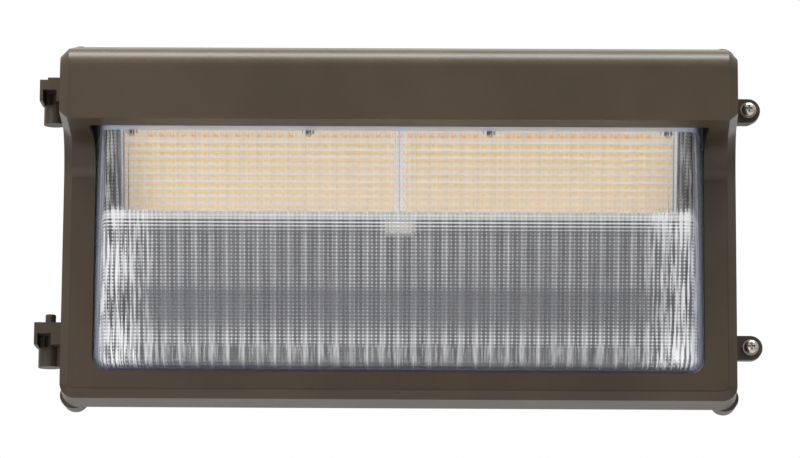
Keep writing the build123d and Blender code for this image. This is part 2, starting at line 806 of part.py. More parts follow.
chip_plane = board_plane.offset(board_thickness)
amber_row = board_top - amber_inset
chip_field = board_end - last_chip_column - first_chip_column
chip_column_pitch = chip_field / (chip_columns - 1)
chip_row_pitch = (board_top - last_chip_row - first_chip_row) / (chip_rows - 1)
with BuildPart() as white_led_chips:
    with BuildSketch(chip_plane):
        for side in sides:
            middle = side * (first_chip_column + chip_field / 2)
            with Locations((middle, first_chip_row + (chip_rows - 1) * chip_row_pitch / 2)):
                with GridLocations(chip_column_pitch, chip_row_pitch, chip_columns, chip_rows):
                    Rectangle(chip_length, chip_width)
    extrude(amount=chip_thickness)
write(white_led_chips.part, "white_led_chips")

with BuildPart() as amber_led_chips:
    with BuildSketch(chip_plane):
        for middle, count in zip(amber_centres, amber_counts):
            with Locations((middle, amber_row)):
                with GridLocations(amber_pitch, 1, count, 1):
                    Rectangle(chip_length, chip_width)
    extrude(amount=chip_thickness)
write(amber_led_chips.part, "amber_led_chips")

with BuildPart() as board_screws:
    for place in board_screw_places:
        seat = Plane(
            origin=chip_plane.from_local_coords((place, board_screw_row, 0)),
            x_dir=(1, 0, 0), z_dir=board_plane.z_dir,
        )
        add(fastener(seat, board_screw_radius, board_screw_length, board_screw_head, board_screw_head_height))
write(board_screws.part, "board_screws")

with BuildPart() as board_connector:
    with BuildSketch(reflector_plane):
        with Locations((0, -connector_drop)):
            Rectangle(connector_width, connector_height)
    extrude(amount=connector_thickness)
    chamfer(board_connector.edges().group_by(Axis(reflector_plane.origin, reflector_plane.z_dir))[-1], 0.8)
write(board_connector.part, "board_connector")

# ==== driver, end caps and screws =====================================================
driver_front = driver_depth + driver_thickness
with BuildPart() as driver_case:
    with BuildSketch(Plane.YZ.offset(driver_x - driver_length / 2)):
        with Locations((-(driver_depth + driver_front) / 2, driver_z)):
            RectangleRounded(driver_thickness, driver_height, driver_corner)
    extrude(amount=driver_length)
write(driver_case.part, "driver_case")

with BuildPart() as driver_end_caps:
    for side in sides:
        with BuildSketch(Plane.YZ.offset(driver_x + side * driver_length / 2)):
            with Locations((-(driver_depth + driver_front) / 2, driver_z)):
                RectangleRounded(driver_thickness, driver_height, driver_corner)
        extrude(amount=side * end_cap)
        with BuildSketch(facing(driver_depth)):
            with Locations((driver_x + side * (driver_tab_x - 1), driver_z)):
                Rectangle(tab_length + 2, tab_width)
            with Locations((driver_x + side * driver_tab_x, driver_z)):
                Circle(driver_screw_radius + pin_clearance, mode=Mode.SUBTRACT)
        extrude(amount=tab_thickness)
write(driver_end_caps.part, "driver_end_caps")

with BuildPart() as driver_screws:
    for place, level in driver_tabs:
        seat = Plane(
            origin=(place, -driver_depth - tab_thickness, level), x_dir=(1, 0, 0), z_dir=(0, -1, 0)
        )
        add(fastener(seat, driver_screw_radius, driver_screw_length, tray_screw_head, tray_screw_head_height))
write(driver_screws.part, "driver_screws")


# ==== leads, wire connectors and ground screw =========================================
def lead(points):
    """Insulated lead: straight runs joined by the largest arcs that the runs allow."""
    route = [Vector(x, -depth, z) for x, depth, z in points]
    radii = []
    for before, corner, after in zip(route, route[1:], route[2:]):
        run_in, run_out = corner - before, after - corner
        turn = run_in.get_angle(run_out)
        radii.append(0.45 * min(run_in.length, run_out.length) / tangent(turn / 2))
    with BuildPart() as wire:
        with BuildLine() as path:
            FilletPolyline(*route, radius=radii)
        with BuildSketch(Plane(origin=path.line @ 0, z_dir=path.line % 0)):
            Circle(wire_radius)
        sweep()
    return wire.part


driver_left = driver_x - driver_length / 2 - end_cap
driver_right = driver_x + driver_length / 2 + end_cap
lead_levels = (driver_z + lead_rise + lead_gap, driver_z + lead_rise)
step = lead_step
line_wire = lead([
    (driver_left, wire_level, lead_levels[0]), (driver_left - 1.4 * step, wire_level, lead_levels[0]),
    (driver_left - 2.2 * step, 1.9 * step, 0.5 * step), (driver_left - 1.2 * step, 2.1 * step, 2.4 * step),
    (driver_left + 1.2 * step, splice_depth, 3.6 * step),
    (driver_left + 4.5 * step, splice_depth, splice_levels[0]), (splice_x, splice_depth, splice_levels[0]),
])
write(line_wire, "line_wire")
neutral_wire = lead([
    (driver_left, wire_level, lead_levels[1]), (driver_left - 2 * step, wire_level, lead_levels[1]),
    (driver_left - 3.4 * step, 1.9 * step, -0.2 * step), (driver_left - 2.6 * step, 2.1 * step, 2.8 * step),
    (driver_left + 0.2 * step, splice_depth, 4.8 * step),
    (driver_left + 4 * step, splice_depth, splice_levels[1]), (splice_x, splice_depth, splice_levels[1]),
])
write(neutral_wire, "neutral_wire")

terminal_depth = ground_depth + terminal_thickness
with BuildPart() as ground_wire:
    with BuildSketch(facing(ground_depth)):
        with Locations((ground_x, ground_z)):
            Circle(terminal_radius)
            Circle(driver_screw_radius + pin_clearance, mode=Mode.SUBTRACT)
    extrude(amount=terminal_thickness)
    add(
        lead([
            (ground_x + terminal_radius - 0.6, ground_depth + wire_radius, ground_z),
            (ground_x + terminal_radius + 0.9 * step, ground_depth + 0.2 * step, ground_z - 0.1 * step),
            (ground_x + terminal_radius + 2 * step, 1.7 * step, ground_z - 0.9 * step),
            (splice_x - 1.4 * step, splice_depth, splice_levels[2]), (splice_x, splice_depth, splice_levels[2]),
        ])
    )
write(ground_wire.part, "ground_wire")

with BuildPart() as wire_connectors:
    for level in splice_levels:
        with BuildSketch(Plane.YZ.offset(splice_x)):
            with Locations((-splice_depth, level)):
                Circle(splice_radius)
        extrude(amount=splice_length, taper=6)
write(wire_connectors.part, "wire_connectors")

ground_seat = Plane(origin=(ground_x, -terminal_depth, ground_z), x_dir=(1, 0, 0), z_dir=(0, -1, 0))
ground_screw = fastener(
    ground_seat, driver_screw_radius, ground_screw_length, ground_screw_head, tray_screw_head_height
)
write(ground_screw, "ground_screw")

for name, level, rise in (("dc_positive_wire", lead_levels[0], 1), ("dc_negative_wire", lead_levels[1], -1)):
    hole = reflector_plane.from_local_coords((0, rise * wire_pair / 2 - connector_drop, 0))
    approach = reflector_plane.from_local_coords((0, rise * wire_pair / 2 - connector_drop, -1.6 * step))
    dc_wire = lead([
        (driver_right, wire_level, level), (driver_right + (1.4 + 0.2 * rise) * step, wire_level, level),
        (driver_right + (1.8 + 0.2 * rise) * step, 3.4 * step, level + 0.3 * step),
        (driver_right + 0.4 * step, 5.4 * step, level / 3 + 0.1 * rise * step),
        (2.4 * step, 6.3 * step, approach.Z + 0.3 * rise * step), (0, -approach.Y, approach.Z), (0, -hole.Y, hole.Z),
    ])
    write(dc_wire, name)
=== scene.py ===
from math import cos, pi, radians, sin, tan

import bpy
import numpy as np
from mathutils import Matrix, Vector


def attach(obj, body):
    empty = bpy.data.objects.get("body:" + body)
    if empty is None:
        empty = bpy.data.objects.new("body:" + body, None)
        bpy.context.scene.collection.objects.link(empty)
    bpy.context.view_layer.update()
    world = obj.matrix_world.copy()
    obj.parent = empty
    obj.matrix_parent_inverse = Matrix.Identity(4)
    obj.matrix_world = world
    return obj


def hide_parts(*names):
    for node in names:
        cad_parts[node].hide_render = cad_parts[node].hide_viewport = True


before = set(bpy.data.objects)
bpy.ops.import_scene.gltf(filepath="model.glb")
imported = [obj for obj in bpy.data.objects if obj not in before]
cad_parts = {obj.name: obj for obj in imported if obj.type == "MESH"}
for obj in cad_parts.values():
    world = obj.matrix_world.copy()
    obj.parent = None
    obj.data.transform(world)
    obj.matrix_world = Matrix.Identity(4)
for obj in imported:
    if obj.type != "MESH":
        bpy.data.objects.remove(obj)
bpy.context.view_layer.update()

# ---- rear housing, hinge pins and conduit plugs --------------------------------------
# The housing is a shallow die-cast aluminium pan that screws to the wall. Its barrels hold
# two plain pins, and a hexagonal plug closes the conduit hub in each side. All of it has
# the same bronze polyester powder coat, baked on in one go.
MM = 0.001


def linear(colour):
    """An sRGB hex colour as linear red, green and blue with an alpha of 1: each part over
    12.92 when it is dark, and otherwise that part plus 0.055, over 1.055, to the power 2.4."""
    parts = np.array([int(colour[at:at + 2], 16) for at in (0, 2, 4)]) / 255
    light = np.where(parts <= 0.04045, parts / 12.92, ((parts + 0.055) / 1.055) ** 2.4)
    return (*light.tolist(), 1.0)


def add_node(tree, kind, inputs=(), **settings):
    """Adds a node to a tree, sets its properties and fills its sockets with values or links."""
    node = tree.nodes.new("ShaderNode" + kind)
    for name, value in settings.items():
        setattr(node, name, value)
    for socket, value in dict(inputs).items():
        if isinstance(value, bpy.types.NodeSocket):
            tree.links.new(value, node.inputs[socket])
        else:
            node.inputs[socket].default_value = value
    return node


def start_material(name):
    """An empty material, its node tree and its Object coordinates, in metres."""
    material = bpy.data.materials.new(name)
    material.use_nodes = True
    tree = material.node_tree
    tree.nodes.clear()
    return material, tree, add_node(tree, "TexCoord").outputs["Object"]


def paint_nodes(material, *names):
    """Gives CAD nodes a material."""
    for name in names:
        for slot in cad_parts[name].material_slots:
            slot.material = material


# Polyester powder coat: a soft, broken sheen from its fine orange peel, tones that drift
# over some 55 mm, and faint paler flakes. The peel is about 0.5 mm on the real thing and is
# drawn at 1 mm, so that it shows.
PEEL, PEEL_DEPTH, DRIFT = 1.0, 0.12, 55.5
bronze, tree, place = start_material("bronze_powder_coat")
peel = add_node(tree, "TexNoise", {
    "Vector": place, "Scale": 1 / (PEEL * MM), "Detail": 3, "Roughness": 0.6,
}).outputs["Fac"]
drift = add_node(tree, "TexNoise", {"Vector": place, "Scale": 1 / (DRIFT * MM), "Detail": 3})
tone = add_node(tree, "ValToRGB", {"Fac": drift.outputs["Fac"]})
for stop, position, colour in zip(tone.color_ramp.elements, (0.3, 0.7), ("32291f", "3a3024")):
    stop.position, stop.color = position, linear(colour)
flakes = add_node(tree, "MapRange", {"Value": peel, "From Min": 0.62, "From Max": 0.8})
coat = add_node(tree, "Mix", {
    "Factor": flakes.outputs["Result"], "A": tone.outputs["Color"], "B": linear("524a3e"),
}, data_type="RGBA")
dull = add_node(tree, "MapRange", {"Value": peel, "To Min": 0.31, "To Max": 0.43})
bump = add_node(tree, "Bump", {"Height": peel, "Strength": 0.25, "Distance": PEEL_DEPTH * MM})
surface = add_node(tree, "BsdfPrincipled", {
    "Base Color": coat.outputs["Result"], "Roughness": dull.outputs["Result"],
    "Specular IOR Level": 0.21, "Normal": bump.outputs["Normal"],
})
add_node(tree, "OutputMaterial", {"Surface": surface.outputs["BSDF"]})
paint_nodes(bronze, "rear_housing", "upper_hinge_pin", "lower_hinge_pin", "conduit_plugs")

# ---- gaskets and seals ---------------------------------------------------------------
# The door gasket, the lens gasket and the plug seals are moulded silicone rubber, black and
# matt, with the dust and faint flow marks of such rubber.


def grained(name, dark, pale, grain, detail, roughness, relief, metallic=0.0, gloss_drift=0.0):
    """A finish with grain. Noise, stretched to the grain's widths along X, Y and Z in
    millimetres, picks the tone between two colours, moves the roughness up and down by the
    drift, and lifts the surface: the relief is the bump's strength and its height."""
    material, tree, place = start_material(name)
    widths = add_node(tree, "Mapping", {
        "Vector": place, "Scale": tuple(1 / (width * MM) for width in grain),
    })
    noise = add_node(
        tree, "TexNoise", {"Vector": widths.outputs["Vector"], "Scale": 1, "Detail": detail},
    ).outputs["Fac"]
    tone = add_node(tree, "ValToRGB", {"Fac": noise})
    for stop, colour in zip(tone.color_ramp.elements, (dark, pale)):
        stop.color = linear(colour)
    dull = add_node(tree, "MapRange", {
        "Value": noise, "To Min": roughness - gloss_drift, "To Max": roughness + gloss_drift,
    })
    strength, height = relief
    bump = add_node(tree, "Bump", {
        "Height": noise, "Strength": strength, "Distance": height * MM,
    })
    surface = add_node(tree, "BsdfPrincipled", {
        "Base Color": tone.outputs["Color"], "Metallic": metallic,
        "Roughness": dull.outputs["Result"], "Normal": bump.outputs["Normal"],
    })
    add_node(tree, "OutputMaterial", {"Surface": surface.outputs["BSDF"]})
    return material


rubber = grained(
    "black_silicone_rubber", "141413", "2b2a28", grain=(3.85,) * 3, detail=4, roughness=0.75,
    relief=(0.3, 0.1),
)
paint_nodes(rubber, "conduit_seals", "door_gasket", "lens_gasket")

# ---- driver --------------------------------------------------------------------------
# A drawn aluminium tube, clear anodised, closed by two black glass-filled nylon caps whose
# tabs screw to the housing.

# Drawing leaves fine lines along the tube, and anodising gives them a satin grey sheen.
anodised = grained(
    "drawn_anodised_aluminium", "9b9c9e", "c9cacb", grain=(333, 1.11, 1.11), detail=4,
    roughness=0.42, relief=(0.2, 0.05), metallic=1.0,
)
paint_nodes(anodised, "driver_case")

# The glass in the nylon breaks up its gloss. The fibres are far finer on the real thing and
# are drawn at 0.67 mm, so that they show.
nylon = grained(
    "glass_filled_nylon", "121212", "262626", grain=(0.67,) * 3, detail=2, roughness=0.5,
    relief=(0.3, 0.06),
)
paint_nodes(nylon, "driver_end_caps")

# ---- wiring --------------------------------------------------------------------------
# Stranded copper leads in PVC insulation, each in its own colour, joined by screw-on nylon
# connectors, and the white plug of the board leads. All of it is moulded or extruded smooth.

# Such plastic is slightly waxy, and its tone drifts a little over some 8 mm.
SMOOTH = dict(grain=(8.33,) * 3, detail=3, relief=(0.1, 0.1))
for finish, dark, pale, roughness, piece in (
    ("black_pvc", "161616", "202020", 0.42, "line_wire"),
    ("white_pvc", "d2d1cb", "e0dfda", 0.42, "neutral_wire"),
    ("green_pvc", "1c6b33", "26803f", 0.42, "ground_wire"),
    ("red_pvc", "9b1c18", "b3241f", 0.42, "dc_positive_wire"),
    ("blue_pvc", "1d3f8f", "274fa6", 0.42, "dc_negative_wire"),
    ("orange_nylon", "cf5a16", "df6c22", 0.5, "wire_connectors"),
    ("white_nylon", "a09e99", "b2b0aa", 0.4, "board_connector"),
):
    paint_nodes(grained(finish, dark, pale, roughness=roughness, **SMOOTH), piece)

# ---- LED tray and its cheeks ---------------------------------------------------------
# One folded aluminium sheet carries the boards on its upper facet, and a flat cheek closes each
# side. The sheet is mill finish with faint rolling lines from side to side. Its colour, cheeks
# included, is darkened far below bare aluminium with painted shade.
mill_with_painted_shade = grained(
    "mill_aluminium_painted_shade", "2d2e31", "3e3f42", grain=(167, 2.38, 2.38), detail=5,
    roughness=0.4, relief=(0.25, 0.05), metallic=1.0,
)
paint_nodes(mill_with_painted_shade, "led_tray", "tray_cheeks")

# ---- LED boards ----------------------------------------------------------------------
# Two aluminium-core boards lie on the upper facet, end to end, and carry the packages in
# level rows.
BOARD_FOOT = np.array([0, -86.0, 3.0])                   # middle of the fold under the boards
BOARD_UP = np.array([0, -36.0, 54.0]) / np.hypot(36, 54)
BOARD_OUT = np.array([0, -54.0, -36.0]) / np.hypot(36, 54)
BOARD_THICKNESS = 1.6
FIRST_ROW, ROW_PITCH = 4.7, 5.8                          # up the boards from the fold
FIELD_END, FIELD_FADE = 180.0, 4.0                       # where the packages and the painted glow stop
SEAM, SEAM_FADE = 2.0, 3.0                               # half the bare strip in the middle
UNEVEN = 11.1                                            # waves in the resist

# White solder resist is glossy and lies a little uneven. Over the field of packages it carries
# a painted warm glow of the phosphor's light, strongest in a band along each row.
resist, tree, place = start_material("white_resist_painted_glow")
uneven = add_node(
    tree, "TexNoise", {"Vector": place, "Scale": 1 / (UNEVEN * MM), "Detail": 4},
).outputs["Fac"]
tone = add_node(tree, "ValToRGB", {"Fac": uneven})
for stop, colour in zip(tone.color_ramp.elements, ("ebeae8", "f3f2f0")):
    stop.color = linear(colour)
split = add_node(tree, "SeparateXYZ", {"Vector": place})
reach = add_node(tree, "Math", {0: split.outputs["X"]}, operation="ABSOLUTE").outputs[0]
inside_ends = add_node(tree, "MapRange", {
    "Value": reach, "From Min": (FIELD_END + FIELD_FADE) * MM, "From Max": FIELD_END * MM,
})
off_seam = add_node(tree, "MapRange", {
    "Value": reach, "From Min": SEAM * MM, "From Max": (SEAM + SEAM_FADE) * MM,
})
field = add_node(tree, "Math", {
    0: inside_ends.outputs["Result"], 1: off_seam.outputs["Result"],
}, operation="MULTIPLY").outputs[0]
# Painted glow: the phosphor's light warms the resist over the field of packages.
painted_glow = add_node(tree, "Mix", {
    "Factor": field, "A": tone.outputs["Color"], "B": linear("f2e6da"),
}, data_type="RGBA")
# Painted glow in a band along each row of packages.
level = add_node(tree, "VectorMath", {0: place, 1: BOARD_UP.tolist()}, operation="DOT_PRODUCT")
above_row = add_node(tree, "Math", {
    0: level.outputs["Value"], 1: -(BOARD_FOOT @ BOARD_UP + FIRST_ROW) * MM,
}, operation="ADD")
turns = add_node(tree, "Math", {
    0: above_row.outputs[0], 1: 2 * pi / (ROW_PITCH * MM),
}, operation="MULTIPLY")
wave = add_node(tree, "Math", {0: turns.outputs[0]}, operation="COSINE")
row_glow = add_node(tree, "MapRange", {
    "Value": wave.outputs[0], "From Min": 0.1, "From Max": 0.6, "To Max": 0.7,
})
row_glow = add_node(tree, "Math", {0: row_glow.outputs["Result"], 1: field}, operation="MULTIPLY")
painted_glow = add_node(tree, "Mix", {
    "Factor": row_glow.outputs[0], "A": painted_glow.outputs["Result"], "B": linear("f8cf70"),
}, data_type="RGBA")
bump = add_node(tree, "Bump", {"Height": uneven, "Strength": 0.2, "Distance": 0.1 * MM})
surface = add_node(tree, "BsdfPrincipled", {
    "Base Color": painted_glow.outputs["Result"], "Roughness": 0.35, "Normal": bump.outputs["Normal"],
})
add_node(tree, "OutputMaterial", {"Surface": surface.outputs["BSDF"]})
paint_nodes(resist, "left_led_board", "right_led_board")

# ---- LED packages --------------------------------------------------------------------
# Each package is a small white thermoplastic tray with a window of phosphor in silicone,
# soldered to a board. Nine rows are white light and one row along the top is amber.
PACKAGE = (3.0, 2.8, 0.7)                                # length, width and height
WINDOW_RIM, WINDOW_DEPTH = 0.12, 0.15
COLUMNS, FIRST_COLUMN, COLUMN_PITCH = 25, 5.0, 7.33      # on each board, out from the middle
ROWS = 9
AMBER_LEVEL, AMBER_PITCH = 58.3, 7.2
AMBER_RUNS = ((-119.0, 14), (0.0, 15), (119.0, 14))      # middle of each run, and its packages


def new_mesh(name, points, faces, materials, smooth=False, indices=None):
    """A mesh object from points in millimetres and faces, with its place in its mesh."""
    mesh = bpy.data.meshes.new(name)
    mesh.from_pydata((np.asarray(points) * MM).tolist(), [], [list(face) for face in faces])
    for material in materials:
        mesh.materials.append(material)
    if indices is not None:
        mesh.polygons.foreach_set("material_index", np.asarray(indices, dtype=np.int32))
    mesh.polygons.foreach_set("use_smooth", np.full(len(mesh.polygons), smooth))
    mesh.update()
    piece = bpy.data.objects.new(name, mesh)
    bpy.context.scene.collection.objects.link(piece)
    return piece


def led_packages(name, across, up, materials):
    """LED packages at places on the boards. A package has four rings of four corners: foot,
    top, window edge and window floor. Each corner is the foot of the boards, plus the place
    and the corner along the boards' two directions, plus its height along their normal."""
    length, width, height = PACKAGE
    square = np.array([(-1, -1), (1, -1), (1, 1), (-1, 1)]) / 2
    insets = np.array([0, 0, 2, 3]) * WINDOW_RIM
    flat = np.concatenate([square * (length - inset, width - inset) for inset in insets])
    rise = np.repeat([0, height, height, height - WINDOW_DEPTH], 4) + BOARD_THICKNESS
    x = across[:, None] + flat[:, 0]
    y = up[:, None] + flat[:, 1]
    points = (
        BOARD_FOOT + x[..., None] * [1, 0, 0] + y[..., None] * BOARD_UP
        + rise[None, :, None] * BOARD_OUT
    )
    sides = [
        (ring * 4 + at, ring * 4 + (at + 1) % 4, ring * 4 + 4 + (at + 1) % 4, ring * 4 + 4 + at)
        for ring in range(3) for at in range(4)
    ]
    window, underside = (12, 13, 14, 15), (3, 2, 1, 0)
    one = np.array(sides + [window, underside])
    faces = (one[None] + 16 * np.arange(len(across))[:, None, None]).reshape(-1, 4)
    kinds = np.tile([0] * len(sides) + [1, 0], len(across))
    return new_mesh(name, points.reshape(-1, 3), faces, materials, indices=kinds)


# The thermoplastic is smooth and bright like china. The phosphor lies in a glossy gel, and
# its grains, far finer than this, are drawn at 0.45 mm, so that they show.
GEL = dict(grain=(0.4545,) * 3, detail=2, roughness=0.3, relief=(0.0, 0.1))
tray_plastic = grained("white_package_plastic", "dedcd6", "eae8e2", roughness=0.35, **SMOOTH)
warm_phosphor = grained("warm_white_phosphor", "f0b616", "fbce34", **GEL)
amber_phosphor = grained("amber_phosphor", "fba62a", "ffbe48", **GEL)

half_row = FIRST_COLUMN + COLUMN_PITCH * np.arange(COLUMNS)
row = np.concatenate([-half_row[::-1], half_row])
grid_x, grid_y = np.meshgrid(row, FIRST_ROW + ROW_PITCH * np.arange(ROWS))
white_leds = led_packages(
    "white_led_packages", grid_x.ravel(), grid_y.ravel(), [tray_plastic, warm_phosphor],
)
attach(white_leds, "housing")
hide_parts("white_led_chips")

amber_x = np.concatenate([
    middle + AMBER_PITCH * (np.arange(count) - (count - 1) / 2) for middle, count in AMBER_RUNS
])
amber_leds = led_packages(
    "amber_led_packages", amber_x, np.full(len(amber_x), AMBER_LEVEL),
    [tray_plastic, amber_phosphor],
)
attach(amber_leds, "housing")
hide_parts("amber_led_chips")

# ---- small steel parts ---------------------------------------------------------------
# The board screws are black oxide steel, and the clips and inner screws are zinc plated. The
# captive screws outside are turned stainless steel, bright from handling, and their washers
# and rings are duller.

# Turning, plating and wear leave marks of about a millimetre that break up the shine.
WORN = dict(detail=4, relief=(0.15, 0.04), gloss_drift=0.08)
black_oxide = grained(
    "black_oxide_steel", "1a1a1c", "2c2c2f", grain=(0.8,) * 3, roughness=0.4, metallic=0.6,
    **WORN,
)
zinc_plate = grained(
    "zinc_plated_steel", "8f9294", "b8babb", grain=(1.5,) * 3, roughness=0.35, metallic=1.0,
    **WORN,
)
stainless = grained(
    "bright_stainless_steel", "8e887e", "b8b2a9", grain=(0.9,) * 3, roughness=0.3,
    metallic=1.0, **WORN,
)
washer_steel = grained(
    "dulled_stainless_steel", "6b665f", "8d8880", grain=(0.9,) * 3, roughness=0.38,
    metallic=1.0, **WORN,
)
paint_nodes(black_oxide, "board_screws")
paint_nodes(
    zinc_plate, "tray_screws", "driver_screws", "ground_screw", "lens_clips",
    "lens_clip_screws",
)
paint_nodes(stainless, "upper_captive_screw", "lower_captive_screw")
paint_nodes(
    washer_steel, "upper_screw_washers", "upper_retaining_ring", "lower_screw_washers",
    "lower_retaining_ring",
)

# ---- door frame ----------------------------------------------------------------------
# The hooded door is one aluminium die casting with the same powder coat as the housing. It
# hangs on the pins by its two hooks.
paint_nodes(bronze, "door_frame")

# ---- lens ----------------------------------------------------------------------------
# One moulded polycarbonate cover, clear with a cool tint, smooth outside. Inside its sloping
# front, upright flutes 2.9 mm apart spread the light sideways and fine ridges across them
# spread it up and down. A flange round its foot is clipped behind the door frame.
LENS_HALF, LENS_BOTTOM, LENS_TOP = 202.0, -104.5, 78.0   # where it passes the door's face
LENS_CORNER, LENS_DRAFT, LENS_WALL, EDGE_RADIUS = 10.0, 8.0, 3.0, 8.0
FACE_DEPTH = 107.0                                       # depths are out from the wall plane
FRONT_DEPTH, FRONT_LEVEL, FRONT_SLOPE = 118.0, -95.0, 17.4
FLANGE_FRONT, FLANGE_BACK, FLANGE_WIDTH = 102.5, 99.5, 5.0
FLUTE, FLUTE_DEPTH, FLUTE_FADE = 2.9, 0.45, 3.0
FLUTE_HALF, FLUTE_SIDE_FADE, FLUTE_BOTTOM, FLUTE_TOP = 188.0, 2.0, -92.0, 62.0
FOOT_SPREAD = 0.6                                        # what the draft adds at the flange


def edge_distance(x, z, half, bottom, top, corner):
    """How far inside a rounded rectangle points lie: the corner radius less the distance to
    the rectangle inside its corner centres, and more in the middle."""
    side = np.abs(x) - (half - corner)
    end = np.abs(z - (bottom + top) / 2) - ((top - bottom) / 2 - corner)
    outside = np.hypot(np.maximum(side, 0), np.maximum(end, 0))
    return corner - outside - np.minimum(np.maximum(side, end), 0)


def pull_inside(x, z, half, bottom, top, corner):
    """Points beyond a rounded rectangle moved to the nearest point of its outline."""
    core_x = np.clip(x, corner - half, half - corner)
    core_z = np.clip(z, bottom + corner, top - corner)
    far = np.hypot(x - core_x, z - core_z)
    keep = np.minimum(1, corner / np.maximum(far, 1e-9))
    return core_x + (x - core_x) * keep, core_z + (z - core_z) * keep


def lens_skin(x, z, inset, base, radius, flutes):
    """Points of a lens skin over places on the wall plane. From the edge inwards its depth
    climbs a straight wall with the draft, turns through an arc and runs on along the sloping
    front. The flutes take off half of one less the cosine of the way across a flute, times
    their depth."""
    slope = tan(radians(LENS_DRAFT))
    spread = (FACE_DEPTH - base) * slope - inset
    outline = (LENS_HALF + spread, LENS_BOTTOM - spread, LENS_TOP + spread, LENS_CORNER - inset)
    x, z = pull_inside(x, z, *outline)
    inside = edge_distance(x, z, *outline)
    tilt = radians(FRONT_SLOPE)
    front = FRONT_DEPTH + (z - FRONT_LEVEL) * tan(tilt) - inset / cos(tilt)
    arc_end = radius / cos(radians(LENS_DRAFT)) + (front - radius - base) * slope
    arc_start = arc_end - radius * cos(radians(LENS_DRAFT))
    wall = base + inside / slope
    drop = np.maximum(arc_end - inside, 0)
    arc = front - radius + np.sqrt(np.maximum(radius ** 2 - drop ** 2, 0))
    depth = np.where(inside < arc_start, wall, np.where(inside < arc_end, arc, front))
    if flutes:
        fade = np.clip((FLUTE_HALF - np.abs(x)) / FLUTE_SIDE_FADE, 0, 1)
        fade = fade * np.clip((z - FLUTE_BOTTOM) / FLUTE_FADE, 0, 1)
        fade = fade * np.clip((FLUTE_TOP - z) / FLUTE_FADE, 0, 1)
        depth = depth - fade * FLUTE_DEPTH * (1 - np.cos(2 * pi * x / FLUTE)) / 2
    return np.stack([x, -depth, z], axis=-1)


def grid_faces(rows, columns, flip):
    """Quads between neighbouring points of a grid counted row by row."""
    at = np.arange(rows * columns).reshape(rows, columns)
    quads = np.stack([at[:-1, :-1], at[:-1, 1:], at[1:, 1:], at[1:, :-1]], axis=-1)
    quads = quads.reshape(-1, 4)
    return quads[:, ::-1] if flip else quads


# The grid is fine along the four edges, where the walls turn, and has four columns to each
# flute and few rows in between. Its outermost lines lie just beyond the outline.
BEYOND, EDGE_ZONE, EDGE_STEP, QUARTERS = 0.7, 17, 0.6, 255
edge_steps = np.arange(0, EDGE_ZONE, EDGE_STEP)
lens_x = np.concatenate([
    edge_steps - LENS_HALF - BEYOND, FLUTE / 4 * np.arange(-QUARTERS, QUARTERS + 1),
    LENS_HALF + BEYOND - edge_steps[::-1],
])
lens_z = np.concatenate([
    edge_steps + LENS_BOTTOM - BEYOND, np.linspace(-86, 60, 9),
    LENS_TOP + BEYOND - edge_steps[::-1],
])
plan_x, plan_z = np.meshgrid(lens_x, lens_z)
outer = lens_skin(plan_x, plan_z, 0.0, FLANGE_FRONT, EDGE_RADIUS, False)
inner = lens_skin(plan_x, plan_z, LENS_WALL, FLANGE_BACK, EDGE_RADIUS - LENS_WALL, True)
rows, columns = plan_x.shape
count = rows * columns
grid = np.arange(count).reshape(rows, columns)
border = np.concatenate([grid[0, :-1], grid[:-1, -1], grid[-1, :0:-1], grid[:0:-1, 0]])

# The flange runs outwards from the foot of the outer skin, away from the corner centres.
edge = outer.reshape(-1, 3)[border]
core_half = LENS_HALF + FOOT_SPREAD - LENS_CORNER
core_low = LENS_BOTTOM - FOOT_SPREAD + LENS_CORNER
core_high = LENS_TOP + FOOT_SPREAD - LENS_CORNER
away = edge[:, [0, 2]] - np.stack([
    np.clip(edge[:, 0], -core_half, core_half), np.clip(edge[:, 2], core_low, core_high),
], axis=-1)
away = away / np.maximum(np.linalg.norm(away, axis=1, keepdims=True), 1e-9) * FLANGE_WIDTH
rim_x, rim_z = (edge[:, [0, 2]] + away).T
rim = np.stack([rim_x, np.full(len(edge), -FLANGE_FRONT), rim_z], axis=-1)
rim_back = rim * [1, 0, 1] - [0, FLANGE_BACK, 0]

around = np.arange(len(border))
ahead = np.roll(around, -1)
loops = [border, 2 * count + around, 2 * count + len(border) + around, border + count]
points = np.concatenate([outer.reshape(-1, 3), inner.reshape(-1, 3), rim, rim_back])
outer_faces = grid_faces(rows, columns, False)
inner_faces = grid_faces(rows, columns, True) + count
flange_faces = np.concatenate([
    np.stack([near, far, far[ahead], near[ahead]], axis=-1)
    for near, far in zip(loops, loops[1:])
])
faces = np.concatenate([outer_faces, inner_faces, flange_faces])
ribbed = np.repeat([0, 1, 0], [len(outer_faces), len(inner_faces), len(flange_faces)])

# Clear polycarbonate, moulded smooth: a sharp gloss that grows at a slant, with a cool tint.
# Its side walls, foot and brow, where one looks along them, carry a painted reflection in pale
# bluish grey, and lamps shine through it to the boards behind.
WALL_START, WALL_END = 192.0, 195.5                      # where each begins and is full
FOOT_START, FOOT_END = -101.0, -104.0
BROW_START, BROW_END = 45.7, 46.4
skin, tree, place = start_material("clear_skin_painted_edge_reflection")
sheen = add_node(tree, "Fresnel", {"IOR": 1.58})
through = add_node(tree, "BsdfTransparent", {"Color": linear("fcfcfd")})
gloss = add_node(tree, "BsdfGlossy", {"Color": linear("f6f7fa"), "Roughness": 0.06})
clear = add_node(tree, "MixShader", {
    0: sheen.outputs["Fac"], 1: through.outputs["BSDF"], 2: gloss.outputs["BSDF"],
})
split = add_node(tree, "SeparateXYZ", {"Vector": place})
reach = add_node(tree, "Math", {0: split.outputs["X"]}, operation="ABSOLUTE").outputs[0]
reflection_share = 0.0
